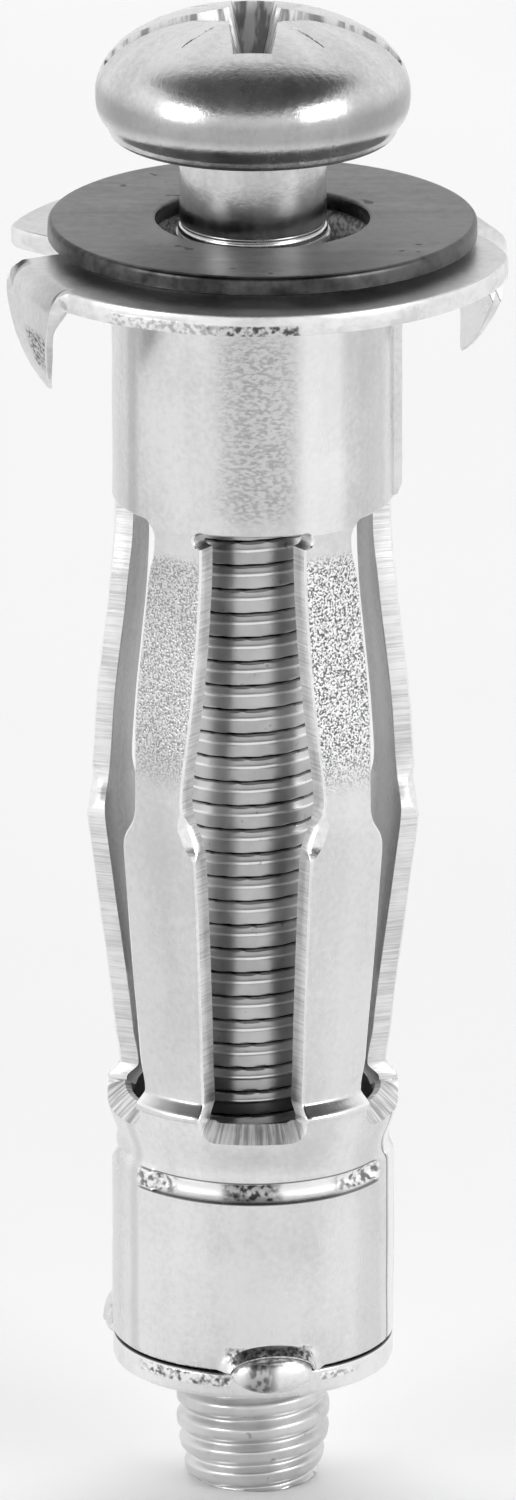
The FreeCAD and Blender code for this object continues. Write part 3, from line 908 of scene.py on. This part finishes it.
def lower_collar_loop(azimuth):
    """Closed loop round the lower collar's section: outside, window, inside and upper edge."""
    top = collar_top(azimuth, SLOT_HALF, SLOT_CORNER, SLOT_BOTTOM_Z)
    inner_top = collar_top(azimuth, SLOT_HALF - 3.5, SLOT_CORNER - 0.35,
                           SLOT_BOTTOM_Z + SLOT_INNER_RISE)
    edge = HAIR if top == FOOT_Z else 0.05
    bottom = window_top(azimuth)
    stops = ((-28.4, 9), (-29.3, 7), (-29.95, 13), (-30.8, 6), (-33.4, 5), (bottom + 0.05, 12))
    levels = [top - edge]
    for stop, count in stops:
        levels += steps(levels[-1], stop, count)[1:]
    loop = [(dent(polar(azimuth, collar_radius(azimuth, z), z)), PRESSED) for z in levels[:-1]]
    loop.append((dent(polar(azimuth, collar_radius(azimuth, levels[-1]), levels[-1])), RADIAL))
    last = collar_radius(azimuth, bottom)
    loop += [(polar(azimuth, r, bottom), RADIAL) for r in (last - 0.05, last - SHEET + 0.1)]
    levels = steps(bottom + 0.05, inner_top - 0.05, 10)
    loop += [(polar(azimuth, min(collar_radius(azimuth, z) - SHEET, COLLAR_IN_R), z),
              RADIAL if z == levels[-1] else INSIDE) for z in levels]
    first = collar_radius(azimuth, top)
    loop.append((polar(azimuth, first - SHEET + 0.08, inner_top), RADIAL))
    loop.append((polar(azimuth, first - SHEET * 0.5, mix(inner_top, top, 0.45)), RADIAL))
    loop.append((dent(polar(azimuth, first - edge, top)), RADIAL))
    return loop


def make_lower_collar():
    piece = revolved("sleeve_lower_collar", lower_collar_loop, COLLAR_COLUMNS,
                     ("pressed", "radial", "inside"))
    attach(piece, "nut_collar")
    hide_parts("lower_collar")
    return piece


NUT_PROFILE = ((3.70, -30.35), (3.70, -34.9), (3.70, -35.4), (3.95, -35.60), (4.30, -35.63),
               (4.45, -35.68), (4.50, -35.76), (4.50, -36.36), (4.47, -36.46), (4.38, -36.54),
               (4.20, -36.57), (3.40, -36.57), (2.95, -36.57), (2.75, -36.48))
LUG_R = 4.97
LUG_HALF = 16.9
LUG_HALF_H = 0.66
LUG_FOOT_R = 4.40
LUG_IN_R = 3.6
NUT_COLUMNS = 480
NUT_BORE_R = 2.52
NUT_THREAD_DEPTH = 0.14
NUT_THREAD_Z = (-36.35, -30.45)
NUT_THREAD_STEPS = 110


def nut_loop(azimuth):
    """Closed loop round the nut's section: its outside, then its threaded bore."""
    loop = [(polar(azimuth, r, z), 0) for r, z in NUT_PROFILE]
    for z in steps(*NUT_THREAD_Z, NUT_THREAD_STEPS):
        groove = 0.5 - 0.5 * math.cos(2 * math.pi * ((z / PITCH - azimuth / 360) % 1.0))
        r = NUT_BORE_R + NUT_THREAD_DEPTH * groove + 0.2 * smooth(-36.0, -36.4, z)
        loop.append((polar(azimuth, r, z), 1))
    return loop


def lug_loop(azimuth, share):
    """Closed loop across a lug, at a share from -1 to 1 of its half width."""
    width = math.sqrt(1 - share * share)
    half = LUG_HALF_H * width
    place = azimuth + LUG_HALF * share
    loop = []
    for j in range(25):
        lift = math.cos(math.pi * j / 24)
        dome = width * math.sqrt(1 - lift * lift)
        loop.append(polar(place, mix(LUG_FOOT_R, LUG_R, dome**0.8), LUG_MIDDLE_Z + half * lift))
    return loop + [polar(place, LUG_IN_R, LUG_MIDDLE_Z + side * half) for side in (-1, 1)]


def make_nut():
    nut = revolved("nut_body", nut_loop, NUT_COLUMNS, ("nut", "thread"))
    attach(nut, "nut_collar")
    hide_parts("nut")
    shares = [math.sin(math.radians(angle)) for angle in steps(-89, 89, 32)]
    for number, azimuth in enumerate(LUG_AZIMUTHS, start=1):
        lug = build(f"nut_lug_{number}", [lug_loop(azimuth, share) for share in shares], False,
                    [0] * 27, ("lug",))
        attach(lug, "nut_collar")


# Washer ---------------------------------------------------------------------------------------

WASHER_HOLE_R = 3.375
WASHER_R = 6.80
WASHER_LOW = 0.95
WASHER_HIGH = 1.55
WASHER_SHIFT = Vector((0.30, 0, 0))
WASHER_UNEVEN = 0.02
WASHER_KINDS = [1] * 5 + [0] * 3 + [1] * 6 + [0] * 4


def uneven(azimuth, size, seed):
    """Small unevenness round the washer, the same in every run."""
    a = math.radians(azimuth)
    return noise.noise(Vector((math.cos(a) * size, math.sin(a) * size, seed))) * WASHER_UNEVEN


def washer_loop(azimuth):
    """Closed loop round the washer's section, from its hole's upper edge down and round."""
    hole, rim, low, high = WASHER_HOLE_R, WASHER_R, WASHER_LOW, WASHER_HIGH
    rough = uneven(azimuth, 9, 3)
    wave = uneven(azimuth, 1.5, 8)
    profile = (
        (hole + 0.10, high), (hole + 0.03, high - 0.03), (hole, high - 0.10),
        (hole + rough, mix(low, high, 0.45)), (hole + 0.05 + rough, low + 0.06),
        (hole + 0.12, low), (mix(hole, rim, 0.35), low), (mix(hole, rim, 0.7), low),
        (rim - 0.05, low), (rim - 0.012 + rough, low + 0.03),
        (rim - 0.01 + rough, mix(low, high, 0.4)), (rim - 0.01, mix(low, high, 0.68)),
        (rim - 0.025, high - 0.10), (rim - 0.07, high - 0.045), (rim - 0.14, high - 0.012),
        (rim - 0.24, high), (mix(hole, rim, 0.7), high), (mix(hole, rim, 0.4), high))
    waved = high - 0.008 + wave * 0.4
    return [(polar(azimuth, r, waved if z == high else z) + WASHER_SHIFT, kind)
            for (r, z), kind in zip(profile, WASHER_KINDS)]


def make_washer():
    piece = revolved("washer_plate", washer_loop, 240, ("washer", "washer_edge"))
    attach(piece, "washer")
    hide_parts("washer")


# Screw ----------------------------------------------------------------------------------------

# Thread: radii, and where along a pitch its groove is deepest, where it ends and where the raised
# lip stands
CREST_R = 2.465
ROOT_R = 2.20
THREAD_PHASE = 0.5
GROOVE_START = 0.06
GROOVE_STOP = 0.14
FLANK_STOP = 0.42
FLANK_DEPTH = 0.2
LIP_PLACE = 0.44
LIP = 0.025
THREAD_TOP_Z = 1.10
THREAD_COLUMNS = 96
THREAD_STEP = 0.043
TIP_Z = -40.60
TIP_TAPER = 0.28
TIP_CHAMFER = 0.45
HEAD = ((2.40, 4.30), (4.26, 4.30), (4.42, 4.325), (4.50, 4.38), (4.545, 4.46), (4.57, 4.57),
        (4.62, 4.67), (4.74, 4.80), (4.86, 4.98), (4.94, 5.20), (4.968, 5.40), (4.975, 5.60),
        (4.965, 5.85), (4.91, 6.10), (4.80, 6.40), (4.60, 6.72), (4.32, 7.03), (3.98, 7.29),
        (3.50, 7.57), (3.00, 7.79), (2.50, 7.95), (2.00, 8.07), (1.50, 8.14), (1.00, 8.18),
        (0.50, 8.20), (0.0, 8.21))
SHANK = ((0.5, 1.05), (2.25, 1.05), (2.35, 1.10), (2.375, 1.16), (2.37, 1.28), (2.34, 1.33),
         (2.28, 1.36), (2.275, 1.41), (2.30, 1.45), (2.325, 1.52), (2.325, 2.6), (2.325, 3.4),
         (2.325, 4.1), (2.34, 4.25), (2.40, 4.32), (0.5, 4.40))

# Outlines of the recess's cutters at the top and at the floor: the slot, a wing of the cross, and
# an arm of the cross along the slot. The burrs are thin marks between them.
CUT_TOP = 9.0
SLOT = (((-6, -0.42), (6, -0.42), (6, 0.42), (-6, 0.42)),
        ((-6, -0.30), (6, -0.30), (6, 0.30), (-6, 0.30)), 6.58)
WING = (((-0.98, 0), (0.98, 0), (0.88, 3.35), (-0.88, 3.35)),
        ((-0.30, 0), (0.30, 0), (0.27, 2.62), (-0.27, 2.62)), 6.10)
ARM = (((0, -0.85), (1.1, -0.80), (3.0, 0), (1.1, 0.80), (0, 0.85)),
       ((0, -0.42), (1.0, -0.40), (2.3, 0), (1.0, 0.40), (0, 0.42)), 6.20)
POINT_R = 1.45
POINT_Z = 4.95
BURR = ((1.75, -0.03), (2.5, -0.06), (3.15, -0.02), (3.15, 0.02), (2.5, 0.06), (1.75, 0.03))
BURR_Z = 7.55


def turned_piece(name, profile, material, columns=128):
    sections = [[polar(360 * i / columns, r, z) for r, z in profile] for i in range(columns)]
    return build(name, sections, True, [0] * len(profile), (material,))


def thread_radius(azimuth, z):
    """Right-hand rolled thread: flat crests with a lip, narrow grooves, and a rounder tip."""
    below = 1 - (z / PITCH - azimuth / 360 + THREAD_PHASE) % 1.0
    if below < GROOVE_START:
        depth = smooth(0.0, GROOVE_START, below)
    elif below < GROOVE_STOP:
        depth = mix(1.0, FLANK_DEPTH, smooth(GROOVE_START, GROOVE_STOP, below))
    else:
        depth = FLANK_DEPTH * (1 - smooth(GROOVE_STOP, FLANK_STOP, below))
    lip = max(0.0, 1 - ((below - LIP_PLACE) / 0.07)**2)
    rolled = CREST_R - LIP - (CREST_R - ROOT_R) * depth + LIP * lip
    wave = 0.5 + 0.5 * math.cos(2 * math.pi * (below - 0.12))
    rounded = CREST_R - (CREST_R - ROOT_R) * wave**2.6
    end = z - TIP_Z
    r = mix(rounded, rolled, smooth(-37.2, -36.4, z)) - TIP_TAPER * (1 - smooth(0.0, 1.9, end))
    return min(r, CREST_R - TIP_CHAMFER + end if end < TIP_CHAMFER else r)


def make_thread():
    rows = int((THREAD_TOP_Z - TIP_Z) / THREAD_STEP)
    sections = []
    for i in range(THREAD_COLUMNS):
        azimuth = 360 * i / THREAD_COLUMNS
        loop = [polar(azimuth, r, TIP_Z) for r in (0.02, 1.0, 1.95)]
        loop += [polar(azimuth, thread_radius(azimuth, z), z)
                 for z in steps(TIP_Z + 0.02, THREAD_TOP_Z, rows)]
        loop += [polar(azimuth, r, THREAD_TOP_Z) for r in (1.0, 0.02)]
        sections.append(loop)
    kinds = [1, 1, 1] + [0] * (rows + 3)
    piece = build("screw_thread", sections, True, kinds, ("thread", "screw"), sharp=60)
    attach(piece, "screw")
    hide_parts("screw")


def make_shank():
    piece = turned_piece("screw_shank", SHANK, "screw")
    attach(piece, "screw")


def prism(corners, base, low):
    """Cutter from an outline at its floor up to one with as many corners above the head."""
    mesh = bpy.data.meshes.new("cutter")
    count = len(corners)
    verts = [(x, y, low) for x, y in base] + [(x, y, CUT_TOP) for x, y in corners]
    faces = [tuple(range(count))[::-1], tuple(range(count, 2 * count))]
    faces += [(i, (i + 1) % count, (i + 1) % count + count, i + count) for i in range(count)]
    mesh.from_pydata(verts, [], faces)
    return placed("cutter", mesh)


def rotated(outline, angle):
    c, s = math.cos(math.radians(angle)), math.sin(math.radians(angle))
    return [(x * c - y * s, x * s + y * c) for x, y in outline]


def recess_cutters():
    cutters = [prism(*SLOT)]
    for side in (1, -1):
        for corners, base, low in (WING, ARM):
            cutters.append(prism([(x * side, y * side) for x, y in corners],
                                 [(x * side, y * side) for x, y in base], low))
    ring = [rotated([(POINT_R, 0)], 15 * k)[0] for k in range(24)]
    cutters.append(prism(ring, [(x * 0.12, y * 0.12) for x, y in ring], POINT_Z))
    for k in range(4):
        outline = rotated(BURR, 45 + 90 * k)
        cutters.append(prism(outline, outline, BURR_Z))
    return cutters


def applied(item):
    """An object's mesh with its modifiers applied, which are then removed."""
    bpy.context.view_layer.update()
    graph = bpy.context.evaluated_depsgraph_get()
    mesh = bpy.data.meshes.new_from_object(item.evaluated_get(graph))
    item.modifiers.clear()
    return mesh


def make_head():
    head = turned_piece("screw_head", ((0.0, 4.30),) + HEAD, "head", columns=144)
    head.data.materials.append(MATERIALS["recess"])
    head.data.transform(Matrix.Scale(1 / MM, 4))
    for cutter in recess_cutters():
        cutter.data.materials.append(MATERIALS["recess"])
        modifier = head.modifiers.new("recess", "BOOLEAN")
        modifier.operation = "DIFFERENCE"
        modifier.solver = "EXACT"
        modifier.material_mode = "TRANSFER"
        modifier.object = cutter
        head.data = applied(head)
        bpy.data.objects.remove(cutter)
    bevel = head.modifiers.new("edges", "BEVEL")
    bevel.width = 0.045
    bevel.segments = 2
    bevel.limit_method = "ANGLE"
    bevel.angle_limit = math.radians(35)
    head.data = applied(head)
    for polygon in head.data.polygons:
        polygon.use_smooth = True
    head.data.set_sharp_from_angle(angle=math.radians(38))
    head.data.transform(Matrix.Scale(MM, 4))
    head.data.name = "screw_head"
    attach(head, "screw")


# Studio ---------------------------------------------------------------------------------------

STUDIO_LIGHT = 0.97
STUDIO_DARK = 0.06
SENSOR = 36
CAMERA_DISTANCE = 0.60
CAMERA_ELEVATION = math.radians(18.0)
CAMERA_TARGET = (0.16, 0, -16.16)
VIEW_WIDTH = 0.0478
LIGHT_TARGET = (0, 0, -15)
FLOOR_R = 0.6
FLOOR_GAP = 0.00002
FLOOR_SIDES = 72


def aim(item, target):
    item.rotation_euler = (Vector(target) - item.location).to_track_quat("-Z", "Y").to_euler()


def softbox(name, place, target, width, height, power):
    data = bpy.data.lights.new(name, "AREA")
    data.shape = "RECTANGLE"
    data.size = width
    data.size_y = height
    data.energy = power
    lamp = placed(name, data)
    lamp.location = place
    aim(lamp, target)
    return lamp


def make_world(scene):
    """White studio with a dark ceiling strip above and in front of the object."""
    world = bpy.data.worlds.new("studio")
    scene.world = world
    world.use_nodes = True
    n = Tree(world.node_tree)
    x, y, z = n.split(n.add("ShaderNodeTexCoord").outputs["Generated"])
    front = n.spread(y, 0.10, 0.45, 1.0, 0.0)
    above = n.spread(z, 0.30, 0.55)
    right = n.spread(x, 0.66, 0.86, 1.0, 0.0)
    left = n.spread(x, -0.86, -0.66)
    shade = n.times(n.times(front, above), n.times(right, left))
    background = n.tree.nodes["Background"]
    n.feed(n.spread(shade, 0.0, 1.0, STUDIO_LIGHT, STUDIO_DARK), background.inputs["Strength"])
    background.inputs["Color"].default_value = grey(1.0)


def make_camera(scene):
    data = bpy.data.cameras.new("camera")
    data.sensor_width = SENSOR
    data.lens = SENSOR * CAMERA_DISTANCE / VIEW_WIDTH
    data.clip_end = 20
    camera = placed("camera", data)
    away = Vector((0, -math.cos(CAMERA_ELEVATION), math.sin(CAMERA_ELEVATION)))
    camera.location = Vector(CAMERA_TARGET) * MM + away * CAMERA_DISTANCE
    camera.rotation_euler = (math.radians(90) - CAMERA_ELEVATION, 0, 0)
    scene.camera = camera


def make_floor():
    floor_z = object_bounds()[0].z - FLOOR_GAP
    turns = [2 * math.pi * i / FLOOR_SIDES for i in range(FLOOR_SIDES)]
    mesh = bpy.data.meshes.new("floor")
    mesh.from_pydata([(FLOOR_R * math.cos(a), FLOOR_R * math.sin(a), floor_z) for a in turns], [],
                     [tuple(range(FLOOR_SIDES))])
    n = Nodes("floor_paper")
    colour = n.blend(n.spread(n.noise(40, 2, 0.5), 0.3, 0.7), grey(0.955), grey(0.97))
    mesh.materials.append(n.done(colour, 0.9, metallic=0.0))
    placed("floor", mesh)


def make_studio():
    scene = bpy.context.scene
    make_camera(scene)
    make_floor()
    make_world(scene)
    target = Vector(LIGHT_TARGET) * MM
    softbox("key", (-0.42, -0.30, 0.16), target, 0.22, 0.22, 0.60)
    softbox("fill", (0.42, -0.30, 0.20), target, 0.30, 0.24, 0.80)
    back = softbox("back", (0.0, 0.55, 0.55), target, 0.90, 0.50, 3.00)
    back.visible_glossy = False
    scene.view_settings.view_transform = "Standard"


def main():
    make_studio()
    MATERIALS.update(make_materials())
    upper = make_flange_collar()
    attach(upper, "flange_collar")
    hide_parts("flange_collar")
    pieces = [upper, make_lower_collar()]
    for number, azimuth in enumerate(LEG_AZIMUTHS, start=1):
        pieces.append(make_leg_upper(number, azimuth))
        pieces.append(make_leg_lower(number, azimuth))
    make_nut()
    make_washer()
    make_thread()
    make_shank()
    make_head()


main()
